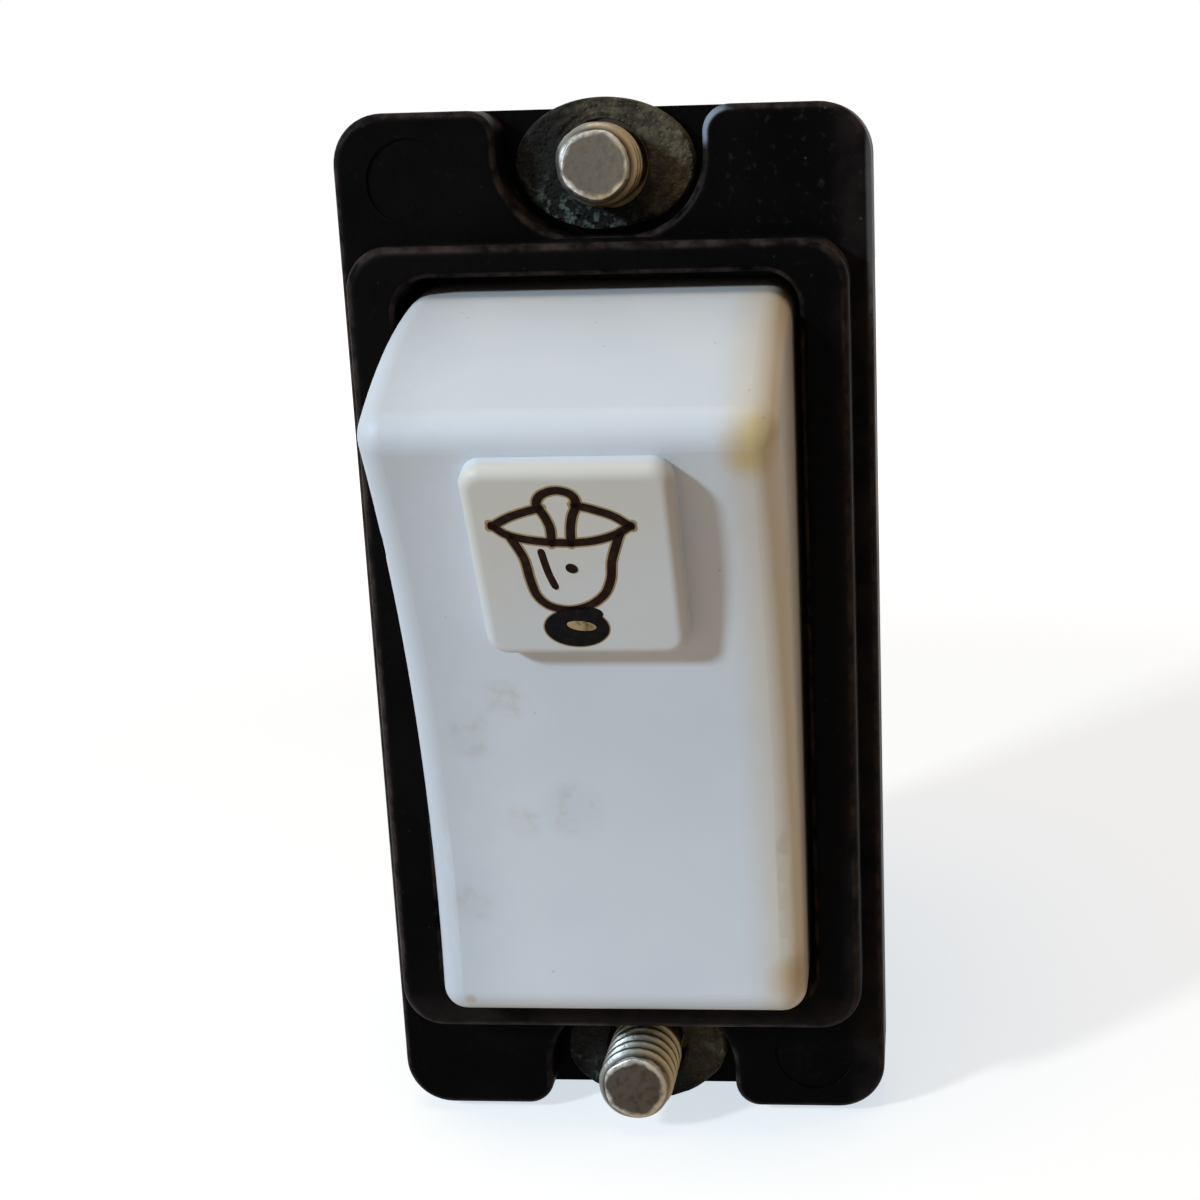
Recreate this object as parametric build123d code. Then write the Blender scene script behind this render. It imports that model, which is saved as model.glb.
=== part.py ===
from build123d import *

import os
from math import radians, sqrt, tan

# Bell push of the piano type, millimetres. The key faces -Y, +Z is up and +X is to the viewer's right.
# The origin is the centre of the flange's front face, which bears on the back of the switch board.

# Rocker key
ROCKER_WIDTH = 16.4
SWING_RADIUS = 15.9
TOP_HEIGHT = 3.3
UPPER_SLOPE = 24.9
RIDGE_HEIGHT = 12.45
FRONT_SLOPE = 13.6
FRONT_HOLLOW = 2.12
PRESS_ANGLE = 7.5
LOWER_END_REACH = 0.25
LOWER_END_LEAN = 0.35
RIDGE_ROUND = 1.3
LOWER_ROUND = 1.1
KEY_EDGE_ROUND = 1.1
KEY_WALL = 2.0
KEY_RIB = 1.3
KEY_CORE_WIDTH = 3.2
PIN_RIB = 4.4

# Raised pad on the key, moulded in one with it
PAD_WIDTH = 8.3
PAD_LENGTH = 9.1
PAD_RAISE = 1.2
PAD_ROUND = 0.5
PAD_CORNER = 0.9
PAD_FROM_RIDGE = 0.6
PAD_FOOT = 1.0

# Frame: flange, border and the two pockets for the fixing screws
SIDE_GAP = 0.32
END_GAP = 0.5
STOP_GAP = 0.15
BORDER_SIDE_WALL = 2.05
BORDER_END_WALL = 1.35
BORDER_HEIGHT = 2.7
BORDER_CORNER = 1.9
BORDER_ROUND = 0.5
OPENING_CORNER = 1.5
OPENING_ROUND = 0.3
FLANGE_SIDE_MARGIN = 0.93
EAR_LENGTH = 5.4
FLANGE_THICKNESS = 4.0
FLANGE_CORNER = 2.2
FLANGE_ROUND = 0.4
POCKET_WIDTH = 8.8
POCKET_DEPTH = 2.5
POCKET_CORNER = 3.4
POCKET_LAND = 0.1
EAR_CORNER = 1.2
RING_RADIUS = 1.85
RING_DEPTH = 0.12

# Pivot
PIVOT_DEPTH = 1.0
PIN_RADIUS = 1.0
PIN_BEARING = 1.5
PIN_PLAY = 0.05
PIN_END_PLAY = 0.15
PIN_CHAMFER = 0.2
TONGUE_PLAY = 0.1

# Fixing screws, with a rolled thread as far as the washer and a thinner plain shank, and their oval washers
SCREW_RADIUS = 1.75
SCREW_SHANK_RADIUS = 1.55
SCREW_HOLE_PLAY = 0.2
SCREW_HEAD_RADIUS = 2.5
SCREW_HEAD_HEIGHT = 2.4
SCREW_SLOT_WIDTH = 0.8
SCREW_SLOT_DEPTH = 1.0
SCREW_TIP_CHAMFER = 0.45
UPPER_SCREW_PROUD = 2.6
LOWER_SCREW_PROUD = 4.2
WASHER_HALF_WIDTH = 3.9
WASHER_HALF_LENGTH = 2.8
WASHER_THICKNESS = 0.9
WASHER_PLAY = 0.15
WASHER_GAP = 0.15
WASHER_ROUND = 0.2

# Rear case
CASE_SIDE_LAP = 1.8
CASE_END_LAP = 0.8
CASE_DEPTH = 17.0
CASE_CORNER = 1.0
CASE_SIDE_WALL = 1.4
CASE_END_WALL = 1.7
BARRIER = 2.0
PARTITION = 1.6
LUG_RADIUS = 2.4
LUG_THICKNESS = 2.5
LUG_INSET_X = 3.3
LUG_INSET_Z = 2.9
CASE_CORE_WIDTH = 3.4
CASE_CORE_RIB = 1.4
CASE_CORE_MARGIN = 2.4

# Screws that join the case to the frame
CASE_SCREW_RADIUS = 1.25
CASE_SCREW_HEAD_RADIUS = 2.2
CASE_SCREW_HEAD_HEIGHT = 1.5
CASE_SCREW_BITE = 2.6
CASE_SCREW_PLAY = 0.06
CASE_SCREW_SLOT = 0.6

# Contacts and terminals
CONTACT_FROM_SIDE = 5.32
CONTACT_FROM_SPRING = 5.8
CONTACT_RADIUS = 1.4
CONTACT_HEIGHT = 0.75
CONTACT_GAP = 1.05
STEM_SIDE = 3.2
STEM_CLEAR = 0.4
BRIDGE_THICKNESS = 0.6
BRIDGE_WIDTH = 4.0
BRIDGE_OVERHANG = 1.5
BRIDGE_SPRING_LENGTH = 1.3
BRIDGE_SPRING_WIRE = 0.3
BRIDGE_SPRING_RADIUS = 1.3
BRIDGE_SPRING_TURNS = 2.5
BRIDGE_PIN_RADIUS = 0.8
BRIDGE_PIN_HEAD_RADIUS = 1.4
BRIDGE_PIN_HEAD = 0.6
BRIDGE_PIN_HOLD = 2.0
BRIDGE_PIN_PLAY = 0.08
CAVITY_MARGIN = 1.1
CAVITY_WEB = 0.55
POST_SIDE = 3.0
POST_HEIGHT = 3.2
POST_PLAY = 0.1
TERMINAL_WIDTH = 6.0
TERMINAL_LENGTH = 15.5
TERMINAL_THICKNESS = 1.2
TERMINAL_UPPER_MARGIN = 2.5
TERMINAL_SCREW_RADIUS = 1.5
TERMINAL_SCREW_HEAD_RADIUS = 2.6
TERMINAL_SCREW_HEAD_HEIGHT = 2.0
TERMINAL_SCREW_SLOT = 0.7
TERMINAL_SCREW_PLAY = 0.06
TERMINAL_SCREW_DROP = 8.5
CLAMP_SIDE = 5.6
CLAMP_THICKNESS = 1.0

# Return spring under the raised end of the key
SPRING_FROM_END = 4.6
SPRING_RADIUS = 1.9
SPRING_WIRE = 0.45
SPRING_TURNS = 5.5
SPRING_POCKET_DEPTH = 3.0
SPRING_POCKET_PLAY = 0.35
SPRING_SEAT_DEPTH = 2.0
SPRING_SEAT_RADIUS = 2.4
SPRING_PILOT_RADIUS = 1.3
SPRING_PILOT_LENGTH = 2.4

# Derived sizes: the frame fits round the key, and the flange round the border
OPENING_WIDTH = ROCKER_WIDTH + 2 * SIDE_GAP
OPENING_LENGTH = 2 * (SWING_RADIUS + END_GAP)
BORDER_WIDTH = OPENING_WIDTH + 2 * BORDER_SIDE_WALL
BORDER_LENGTH = OPENING_LENGTH + 2 * BORDER_END_WALL
FLANGE_WIDTH = BORDER_WIDTH + 2 * FLANGE_SIDE_MARGIN
FLANGE_LENGTH = BORDER_LENGTH + 2 * EAR_LENGTH
SCREW_Z = BORDER_LENGTH / 2 + POCKET_LAND + WASHER_GAP + WASHER_HALF_LENGTH
WASHER_FACE = POCKET_DEPTH - WASHER_THICKNESS
LUG_X = FLANGE_WIDTH / 2 - LUG_INSET_X
LUG_Z = FLANGE_LENGTH / 2 - LUG_INSET_Z

# Derived sizes: depths behind the flange's front face
STOP_FLOOR = FLANGE_THICKNESS + STOP_GAP
CASE_WIDTH = OPENING_WIDTH + 2 * CASE_SIDE_LAP
CASE_LENGTH = OPENING_LENGTH + 2 * CASE_END_LAP
CASE_BACK = FLANGE_THICKNESS + CASE_DEPTH
STEM_END = FLANGE_THICKNESS - STEM_CLEAR
BRIDGE_FRONT = STEM_END + BRIDGE_SPRING_LENGTH
BRIDGE_BACK = BRIDGE_FRONT + BRIDGE_THICKNESS
FIXED_CONTACT_FACE = BRIDGE_BACK + CONTACT_HEIGHT + CONTACT_GAP
POST_FACE = FIXED_CONTACT_FACE + CONTACT_HEIGHT
CHAMBER_FLOOR = POST_FACE + POST_HEIGHT
CAVITY_FLOOR = CHAMBER_FLOOR - PARTITION
TERMINAL_BACK = CHAMBER_FLOOR + TERMINAL_THICKNESS
CLAMP_BACK = TERMINAL_BACK + CLAMP_THICKNESS
SPRING_SEAT = PIVOT_DEPTH - SPRING_SEAT_DEPTH
SPRING_FLOOR = STOP_FLOOR + SPRING_POCKET_DEPTH

# Derived sizes: where the spring, contacts and terminal screws stand
SPRING_Z = SWING_RADIUS - SPRING_FROM_END
CONTACT_X = CASE_WIDTH / 2 - CONTACT_FROM_SIDE
CONTACT_Z = SPRING_Z - CONTACT_FROM_SPRING
TERMINAL_SCREW_Z = CONTACT_Z - TERMINAL_SCREW_DROP
CAVITY_HALF_WIDTH = CONTACT_X + BRIDGE_OVERHANG + CAVITY_MARGIN

# Derived places in the key's section, each a height over the pivot and a Z
SKIRT = FLANGE_THICKNESS - PIVOT_DEPTH
TOP = Vector(TOP_HEIGHT, sqrt(SWING_RADIUS**2 - TOP_HEIGHT**2))
RIDGE = Vector(RIDGE_HEIGHT, TOP.Y - (RIDGE_HEIGHT - TOP_HEIGHT) * tan(radians(UPPER_SLOPE)))
LOWER_Z = -SWING_RADIUS - LOWER_END_REACH
LOW = Vector(RIDGE_HEIGHT - (RIDGE.Y - LOWER_Z) * tan(radians(FRONT_SLOPE)), LOWER_Z)

# Derived arcs of the section: the upper face runs on smoothly from the swing arc, and the front is hollow
UPPER_RADIUS = (RIDGE - TOP).length**2 / (2 * (SWING_RADIUS - RIDGE.dot(TOP.normalized())))
UPPER_CENTRE = TOP.normalized() * (SWING_RADIUS - UPPER_RADIUS)
FRONT_CHORD = RIDGE - LOW
HOLLOW_RADIUS = (FRONT_CHORD.length**2 / 4 + FRONT_HOLLOW**2) / (2 * FRONT_HOLLOW)
HOLLOW_REACH = HOLLOW_RADIUS - FRONT_HOLLOW
HOLLOW_CENTRE = (RIDGE + LOW) * 0.5 + Vector(FRONT_CHORD.Y, -FRONT_CHORD.X).normalized() * HOLLOW_REACH


def slab(outline, front, back):
    """A flat outline drawn in X and Z, given thickness from Y = front to Y = back."""
    return extrude(Plane.XZ.offset(-front) * outline, amount=back - front, dir=(0, 1, 0))


def rod(radius, front, back, x=0.0, z=0.0):
    """A round bar along Y."""
    return slab(Pos(x, z) * Circle(radius), front, back)


def block(width, length, front, back, x=0.0, z=0.0):
    """A square-cornered block, width along X and length along Z."""
    return slab(Pos(x, z) * Rectangle(width, length), front, back)


def rounded(width, length, corner):
    """A rectangle in X and Z with rounded corners."""
    return RectangleRounded(width, length, corner)


def coil(radius, wire, turns, front, back, z):
    """A round-wire compression spring along Y, its wire inside the stated length."""
    length = back - front - wire
    path = Helix(pitch=length / turns, height=length, radius=radius)
    section = Plane(path @ 0, z_dir=path % 0) * Circle(wire / 2)
    spring = sweep(section, path=path, is_frenet=True)
    return Pos(0, back - wire / 2, z) * (Rot(90, 0, 0) * spring)


def slotted_head(radius, front, back, slot_width, slot_depth, x, z):
    """A flat screw head, its driver slot in the back face."""
    head = rod(radius, front, back, x, z)
    return head - block(3 * radius, slot_width, back - slot_depth, back + slot_depth, x, z)


def meet_arc(reach, start, rise):
    """Z at which a line, at a height of start over the pivot and climbing by rise, meets an arc about it."""
    steep = 1 + rise**2
    return (sqrt(steep * reach**2 - start**2) - start * rise) / steep


def front_height(z, inset):
    """Height of the hollow front over the pivot, brought in by a wall thickness."""
    return HOLLOW_CENTRE.X - sqrt((HOLLOW_RADIUS + inset)**2 - (z - HOLLOW_CENTRE.Y)**2)


def ridge_place(inset):
    """Where the upper face meets the front, both brought in by a wall thickness."""
    upper = UPPER_RADIUS - inset
    apart = HOLLOW_CENTRE - UPPER_CENTRE
    along = (apart.length**2 + upper**2 - (HOLLOW_RADIUS + inset)**2) / (2 * apart.length)
    aside = Vector(-apart.Y, apart.X).normalized() * sqrt(upper**2 - along**2)
    return UPPER_CENTRE + apart.normalized() * along + aside


def key_section(inset):
    """The key's side outline in Y and Z, brought in by a wall thickness and left open at its skirt."""
    reach = SWING_RADIUS - inset

    def place(height, z):
        return PIVOT_DEPTH - height, z

    low_z = LOWER_Z + inset
    low = place(front_height(low_z, inset), low_z)
    ridge = ridge_place(inset)
    front_z = (low_z + ridge.Y) / 2
    front = place(front_height(front_z, inset), front_z)
    top = TOP.normalized() * reach
    upper = UPPER_CENTRE + ((top + ridge) * 0.5 - UPPER_CENTRE).normalized() * (UPPER_RADIUS - inset)
    skirt_rise = tan(radians(PRESS_ANGLE))
    skirt_z = meet_arc(reach, -SKIRT, skirt_rise)
    skirt = -SKIRT + skirt_z * skirt_rise
    back = (skirt + top.X) / 2
    back_z = sqrt(reach**2 - back**2)
    low_skirt = place(-SKIRT, low_z + LOWER_END_LEAN)
    outline = [
        Line(place(-SKIRT, 0), low_skirt),
        Line(low_skirt, low),
        ThreePointArc(low, front, place(ridge.X, ridge.Y)),
        ThreePointArc(place(ridge.X, ridge.Y), place(upper.X, upper.Y), place(top.X, top.Y)),
        ThreePointArc(place(top.X, top.Y), place(back, back_z), place(skirt, skirt_z)),
        Line(place(skirt, skirt_z), place(-SKIRT, 0)),
    ]
    return make_face(Curve() + outline)


def corner_of(face, spot):
    """The corner of a section nearest to a stated place."""
    return face.vertices().sort_by_distance((PIVOT_DEPTH - spot.X, spot.Y, 0))[0]


def make_rocker():
    section = key_section(0)
    section = fillet(corner_of(section, RIDGE), RIDGE_ROUND)
    section = fillet(corner_of(section, LOW), LOWER_ROUND)
    key = extrude(Plane.YZ * section, amount=ROCKER_WIDTH / 2, both=True)
    sides = [edge for edge in key.edges()
             if abs(abs(edge.center().X) - ROCKER_WIDTH / 2) < 1e-6 and edge.center().Y < PIVOT_DEPTH]
    key = fillet(sides, KEY_EDGE_ROUND)

    key += make_pad()
    core = extrude(Plane.YZ * key_section(KEY_WALL), amount=ROCKER_WIDTH / 2 - KEY_WALL, both=True)
    core -= block(ROCKER_WIDTH, PIN_RIB, PIVOT_DEPTH - RIDGE_HEIGHT, FLANGE_THICKNESS)
    rib_x = (KEY_CORE_WIDTH + KEY_RIB) / 2
    for side in (-1, 1):
        core -= block(KEY_RIB, 2 * SWING_RADIUS, PIVOT_DEPTH - RIDGE_HEIGHT, SPRING_SEAT, side * rib_x)
    key -= core

    stem = block(STEM_SIDE, STEM_SIDE, PIVOT_DEPTH - RIDGE_HEIGHT, STEM_END, 0, CONTACT_Z)
    stem += rod(SPRING_SEAT_RADIUS, PIVOT_DEPTH - RIDGE_HEIGHT, SPRING_SEAT, 0, SPRING_Z)
    key += stem & extrude(Plane.YZ * key_section(KEY_WALL / 2), amount=ROCKER_WIDTH / 2, both=True)
    key += rod(SPRING_PILOT_RADIUS, SPRING_SEAT, SPRING_SEAT + SPRING_PILOT_LENGTH, 0, SPRING_Z)
    key -= Pos(0, PIVOT_DEPTH, 0) * (Rot(0, 90, 0) * Cylinder(PIN_RADIUS + PIN_PLAY, 2 * ROCKER_WIDTH))
    key -= rod(BRIDGE_PIN_RADIUS, STEM_END - BRIDGE_PIN_HOLD, STEM_END, 0, CONTACT_Z)
    return key


def make_pad():
    """The square pad, lying along the hollow front, its foot sunk into the key's wall."""
    z = RIDGE.Y - PAD_FROM_RIDGE - PAD_LENGTH / 2
    height = front_height(z, 0)
    centre = Vector(0, PIVOT_DEPTH - height, z)
    face = Plane(origin=centre, x_dir=(1, 0, 0), z_dir=(0, height - HOLLOW_CENTRE.X, HOLLOW_CENTRE.Y - z))
    outline = face.offset(-PAD_FOOT) * rounded(PAD_WIDTH, PAD_LENGTH, PAD_CORNER)
    pad = extrude(outline, amount=PAD_FOOT + PAD_RAISE)
    top = pad.faces().sort_by(Axis(centre, face.z_dir))[-1]
    return fillet(top.edges(), PAD_ROUND)


def make_frame():
    floor = rounded(FLANGE_WIDTH, FLANGE_LENGTH, FLANGE_CORNER)
    ears = floor
    pocket_end = BORDER_LENGTH / 2 + POCKET_LAND
    for side in (-1, 1):
        pocket = rounded(POCKET_WIDTH, 2 * EAR_LENGTH + 2 * POCKET_CORNER, POCKET_CORNER)
        ears -= Pos(0, side * (pocket_end + EAR_LENGTH + POCKET_CORNER)) * pocket
    ear_tips = [corner for corner in ears.vertices()
                if abs(abs(corner.Y) - FLANGE_LENGTH / 2) < 1e-6
                and abs(corner.X) < POCKET_WIDTH / 2 + 1e-6]
    ears = fillet(ear_tips, EAR_CORNER)
    flange = slab(ears, 0, POCKET_DEPTH)
    flange = fillet(flange.faces().sort_by(Axis.Y)[0].edges(), FLANGE_ROUND)
    flange += slab(floor, POCKET_DEPTH, FLANGE_THICKNESS)

    border = slab(rounded(BORDER_WIDTH, BORDER_LENGTH, BORDER_CORNER), -BORDER_HEIGHT, POCKET_DEPTH)
    border = fillet(border.faces().sort_by(Axis.Y)[0].edges(), BORDER_ROUND)
    opening = slab(rounded(OPENING_WIDTH, OPENING_LENGTH, OPENING_CORNER), -BORDER_HEIGHT, FLANGE_THICKNESS)
    frame = flange + border - opening
    mouth = [edge for edge in frame.edges()
             if abs(edge.center().Y + BORDER_HEIGHT) < 1e-6
             and abs(edge.center().X) < OPENING_WIDTH / 2 + 1e-6
             and abs(edge.center().Z) < OPENING_LENGTH / 2 + 1e-6]
    frame = fillet(mouth, OPENING_ROUND)

    slot_reach = OPENING_WIDTH / 2 + PIN_BEARING + PIN_END_PLAY
    slot_radius = PIN_RADIUS + PIN_PLAY
    slots = Pos(0, PIVOT_DEPTH, 0) * (Rot(0, 90, 0) * Cylinder(slot_radius, 2 * slot_reach))
    slots += block(2 * slot_reach, 2 * slot_radius, PIVOT_DEPTH, FLANGE_THICKNESS)
    frame -= slots
    for side in (-1, 1):
        frame -= rod(SCREW_RADIUS + SCREW_HOLE_PLAY, 0, FLANGE_THICKNESS, 0, side * SCREW_Z)
        hole_end = FLANGE_THICKNESS - CASE_SCREW_BITE - CASE_SCREW_PLAY
        screw_hole = CASE_SCREW_RADIUS + CASE_SCREW_PLAY
        frame -= rod(screw_hole, hole_end, FLANGE_THICKNESS, -side * LUG_X, side * LUG_Z)
        frame -= rod(RING_RADIUS, 0, RING_DEPTH, -side * LUG_X, side * LUG_Z)
    return frame


def make_case():
    case = slab(rounded(CASE_WIDTH, CASE_LENGTH, CASE_CORNER), FLANGE_THICKNESS, CASE_BACK)
    lug_back = FLANGE_THICKNESS + LUG_THICKNESS
    for side in (-1, 1):
        case += rod(LUG_RADIUS, FLANGE_THICKNESS, lug_back, -side * LUG_X, side * LUG_Z)
        foot = LUG_Z - CASE_LENGTH / 2 + CASE_END_WALL
        foot_z = side * (LUG_Z - foot / 2)
        case += block(2 * LUG_RADIUS, foot, FLANGE_THICKNESS, lug_back, -side * LUG_X, foot_z)
        hole = CASE_SCREW_RADIUS + CASE_SCREW_PLAY
        case -= rod(hole, FLANGE_THICKNESS, lug_back, -side * LUG_X, side * LUG_Z)

    case -= block(OPENING_WIDTH, OPENING_LENGTH, FLANGE_THICKNESS, STOP_FLOOR)
    cavity_low = CONTACT_Z - BRIDGE_WIDTH / 2 - CAVITY_MARGIN
    cavity_high = SPRING_Z - SPRING_RADIUS - SPRING_WIRE / 2 - SPRING_POCKET_PLAY - CAVITY_WEB
    cavity_length = cavity_high - cavity_low
    cavity_middle = (cavity_high + cavity_low) / 2
    case -= block(2 * CAVITY_HALF_WIDTH, cavity_length, STOP_FLOOR, CAVITY_FLOOR, 0, cavity_middle)
    pocket = SPRING_RADIUS + SPRING_WIRE / 2 + SPRING_POCKET_PLAY
    case -= rod(pocket, STOP_FLOOR, SPRING_FLOOR, 0, SPRING_Z)
    core_low = -OPENING_LENGTH / 2 + CASE_CORE_MARGIN
    core_length = cavity_low - PARTITION - core_low
    core_middle = core_low + core_length / 2
    for column in (-1, 0, 1):
        core_x = column * (CASE_CORE_WIDTH + CASE_CORE_RIB)
        case -= block(CASE_CORE_WIDTH, core_length, STOP_FLOOR, CAVITY_FLOOR, core_x, core_middle)

    chamber_width = CASE_WIDTH / 2 - CASE_SIDE_WALL - BARRIER / 2
    chamber_length = CASE_LENGTH - 2 * CASE_END_WALL
    chamber_x = BARRIER / 2 + chamber_width / 2
    post_hole = POST_SIDE + 2 * POST_PLAY
    screw_hole = TERMINAL_SCREW_RADIUS + SCREW_HOLE_PLAY
    for side in (-1, 1):
        case -= block(chamber_width, chamber_length, CHAMBER_FLOOR, CASE_BACK, side * chamber_x)
        case -= block(post_hole, post_hole, CAVITY_FLOOR, CHAMBER_FLOOR, side * CONTACT_X, CONTACT_Z)
        case -= rod(screw_hole, CAVITY_FLOOR, CHAMBER_FLOOR, side * CONTACT_X, TERMINAL_SCREW_Z)
        tongue_width = PIN_BEARING - 2 * TONGUE_PLAY
        tongue_x = side * (OPENING_WIDTH / 2 + PIN_BEARING / 2)
        tongue_front = PIVOT_DEPTH + PIN_RADIUS + PIN_PLAY
        tongue_length = 2 * (PIN_RADIUS - TONGUE_PLAY)
        case += block(tongue_width, tongue_length, tongue_front, FLANGE_THICKNESS, tongue_x)
    return case


def make_pivot_pin():
    length = OPENING_WIDTH + 2 * PIN_BEARING
    pin = Pos(0, PIVOT_DEPTH, 0) * (Rot(0, 90, 0) * Cylinder(PIN_RADIUS, length))
    return chamfer(pin.edges().filter_by(GeomType.CIRCLE), PIN_CHAMFER)


def make_fixing_screw(side, proud):
    tip = WASHER_FACE - proud
    thread = rod(SCREW_RADIUS, tip, WASHER_FACE, 0, side * SCREW_Z)
    thread = chamfer(thread.faces().sort_by(Axis.Y)[0].edges(), SCREW_TIP_CHAMFER)
    shank = rod(SCREW_SHANK_RADIUS, WASHER_FACE, FLANGE_THICKNESS, 0, side * SCREW_Z)
    back = FLANGE_THICKNESS + SCREW_HEAD_HEIGHT
    head = slotted_head(SCREW_HEAD_RADIUS, FLANGE_THICKNESS, back, SCREW_SLOT_WIDTH, SCREW_SLOT_DEPTH,
                        0, side * SCREW_Z)
    return thread + shank + head


def make_washer(side):
    oval = Pos(0, side * SCREW_Z) * Ellipse(WASHER_HALF_WIDTH, WASHER_HALF_LENGTH)
    washer = slab(oval, WASHER_FACE, POCKET_DEPTH)
    washer = fillet(washer.faces().sort_by(Axis.Y)[0].edges(), WASHER_ROUND)
    return washer - rod(SCREW_RADIUS + WASHER_PLAY, WASHER_FACE, POCKET_DEPTH, 0, side * SCREW_Z)


def make_case_screw(side):
    seat = FLANGE_THICKNESS + LUG_THICKNESS
    back = seat + CASE_SCREW_HEAD_HEIGHT
    shank = rod(CASE_SCREW_RADIUS, FLANGE_THICKNESS - CASE_SCREW_BITE, seat, -side * LUG_X, side * LUG_Z)
    slot_depth = CASE_SCREW_HEAD_HEIGHT / 2
    return shank + slotted_head(CASE_SCREW_HEAD_RADIUS, seat, back, CASE_SCREW_SLOT, slot_depth,
                                -side * LUG_X, side * LUG_Z)


def make_terminal(side):
    """A brass strip on the chamber floor, with a post that carries the fixed contact."""
    x = side * CONTACT_X
    top = CONTACT_Z + TERMINAL_UPPER_MARGIN
    strip = block(TERMINAL_WIDTH, TERMINAL_LENGTH, CHAMBER_FLOOR, TERMINAL_BACK, x, top - TERMINAL_LENGTH / 2)
    strip += block(POST_SIDE, POST_SIDE, POST_FACE, CHAMBER_FLOOR, x, CONTACT_Z)
    hole = TERMINAL_SCREW_RADIUS + TERMINAL_SCREW_PLAY
    return strip - rod(hole, CHAMBER_FLOOR, TERMINAL_BACK, x, TERMINAL_SCREW_Z)


def make_terminal_screw(side):
    x = side * CONTACT_X
    back = CLAMP_BACK + TERMINAL_SCREW_HEAD_HEIGHT
    shank = rod(TERMINAL_SCREW_RADIUS, CAVITY_FLOOR, CLAMP_BACK, x, TERMINAL_SCREW_Z)
    return shank + slotted_head(TERMINAL_SCREW_HEAD_RADIUS, CLAMP_BACK, back, TERMINAL_SCREW_SLOT,
                                TERMINAL_SCREW_HEAD_HEIGHT / 2, x, TERMINAL_SCREW_Z)


def make_clamp_plate(side):
    x = side * CONTACT_X
    plate = block(CLAMP_SIDE, CLAMP_SIDE, TERMINAL_BACK, CLAMP_BACK, x, TERMINAL_SCREW_Z)
    return plate - rod(TERMINAL_SCREW_RADIUS + WASHER_PLAY, TERMINAL_BACK, CLAMP_BACK, x, TERMINAL_SCREW_Z)


def make_contact_bridge():
    length = 2 * (CONTACT_X + BRIDGE_OVERHANG)
    bridge = block(length, BRIDGE_WIDTH, BRIDGE_FRONT, BRIDGE_BACK, 0, CONTACT_Z)
    hole = BRIDGE_PIN_RADIUS + BRIDGE_PIN_PLAY
    return bridge - rod(hole, BRIDGE_FRONT, BRIDGE_BACK, 0, CONTACT_Z)


def make_bridge_pin():
    pin = rod(BRIDGE_PIN_RADIUS, STEM_END - BRIDGE_PIN_HOLD, BRIDGE_BACK, 0, CONTACT_Z)
    return pin + rod(BRIDGE_PIN_HEAD_RADIUS, BRIDGE_BACK, BRIDGE_BACK + BRIDGE_PIN_HEAD, 0, CONTACT_Z)


pieces = {
    "front_frame": make_frame(),
    "rear_case": make_case(),
    "rocker_key": make_rocker(),
    "pivot_pin": make_pivot_pin(),
    "return_spring": coil(SPRING_RADIUS, SPRING_WIRE, SPRING_TURNS, SPRING_SEAT, SPRING_FLOOR, SPRING_Z),
    "contact_bridge": make_contact_bridge(),
    "contact_spring": coil(BRIDGE_SPRING_RADIUS, BRIDGE_SPRING_WIRE, BRIDGE_SPRING_TURNS,
                           STEM_END, BRIDGE_FRONT, CONTACT_Z),
    "bridge_pin": make_bridge_pin(),
    "upper_fixing_screw": make_fixing_screw(1, UPPER_SCREW_PROUD),
    "lower_fixing_screw": make_fixing_screw(-1, LOWER_SCREW_PROUD),
    "upper_washer": make_washer(1),
    "lower_washer": make_washer(-1),
    "case_screws": Compound(children=[make_case_screw(1), make_case_screw(-1)]),
}
for name, side in (("left", -1), ("right", 1)):
    moving = rod(CONTACT_RADIUS, BRIDGE_BACK, BRIDGE_BACK + CONTACT_HEIGHT, side * CONTACT_X, CONTACT_Z)
    fixed = rod(CONTACT_RADIUS, FIXED_CONTACT_FACE, POST_FACE, side * CONTACT_X, CONTACT_Z)
    pieces[name + "_moving_contact"] = moving
    pieces[name + "_fixed_contact"] = fixed
    pieces[name + "_terminal"] = make_terminal(side)
    pieces[name + "_terminal_screw"] = make_terminal_screw(side)
    pieces[name + "_clamp_plate"] = make_clamp_plate(side)

os.makedirs("parts", exist_ok=True)
for name, piece in pieces.items():
    export_step(piece, os.path.join("parts", name + ".step"))
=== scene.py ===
from math import cos, radians, sin, tau

import bmesh
import bpy
from mathutils import Matrix, Vector, noise
from mathutils.bvhtree import BVHTree


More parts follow.
